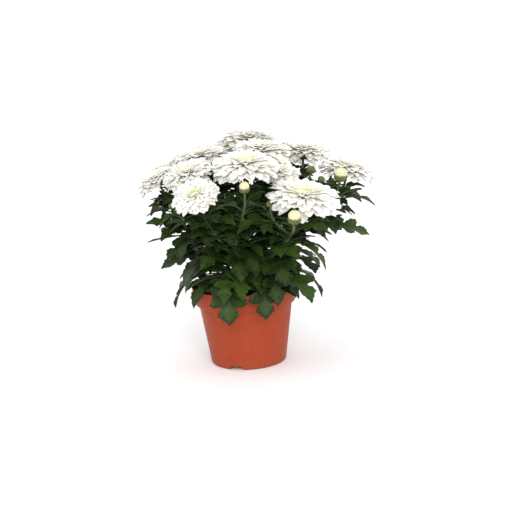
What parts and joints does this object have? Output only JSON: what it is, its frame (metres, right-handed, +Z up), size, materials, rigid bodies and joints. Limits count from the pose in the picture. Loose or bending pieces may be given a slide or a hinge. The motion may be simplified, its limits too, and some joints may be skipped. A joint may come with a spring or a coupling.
{
  "type": "pot chrysanthemum",
  "caption": "Bushy pot chrysanthemum with white double blooms, cream buds and lobed dark green leaves, in a tapered terracotta-coloured plastic pot.",
  "frame": {"origin": "centre of the pot's underside, on the surface it stands on", "axes": "+Z up along the pot's axis, +X to the right and -Y to the front as pictured"},
  "size_m": [0.2662, 0.2333, 0.2571],
  "materials": {
    "pot_plastic": "satin moulded plastic, terracotta orange-red",
    "potting_soil": "moist peat crumb, dark brown",
    "leaf_green": "dark green leaf with a soft sheen, paler veins and a grey-green underside",
    "petal_white": "matt white petal, slightly translucent",
    "eye_green": "closely packed young petals, pale yellow-green",
    "bud_cream": "closely folded petals, cream"
  },
  "bodies": {
    "root": {"bloom_01": "petal_white", "bloom_01_eye": "eye_green", "bloom_02": "petal_white", "bloom_02_eye": "eye_green", "bloom_03": "petal_white", "bloom_03_eye": "eye_green", "bloom_04": "petal_white", "bloom_04_eye": "eye_green", "bloom_05": "petal_white", "bloom_05_eye": "eye_green", "bloom_06": "petal_white", "bloom_06_eye": "eye_green", "bloom_07": "petal_white", "bloom_07_eye": "eye_green", "bloom_08": "petal_white", "bloom_08_eye": "eye_green", "bloom_09": "petal_white", "bloom_09_eye": "eye_green", "bloom_10": "petal_white", "bloom_10_eye": "eye_green", "bloom_11": "petal_white", "bloom_11_eye": "eye_green", "bloom_12": "petal_white", "bloom_12_eye": "eye_green", "bloom_13": "petal_white", "bloom_13_eye": "eye_green", "bloom_14": "petal_white", "bloom_14_eye": "eye_green", "bud_1": "bud_cream", "bud_2": "bud_cream", "bud_3": "bud_cream", "leafy_stem_1": "leaf_green", "leafy_stem_2": "leaf_green", "leafy_stem_3": "leaf_green", "leafy_stem_4": "leaf_green", "leafy_stem_5": "leaf_green", "pot": "pot_plastic", "potting_soil": "potting_soil"}
  },
  "joints": []
}
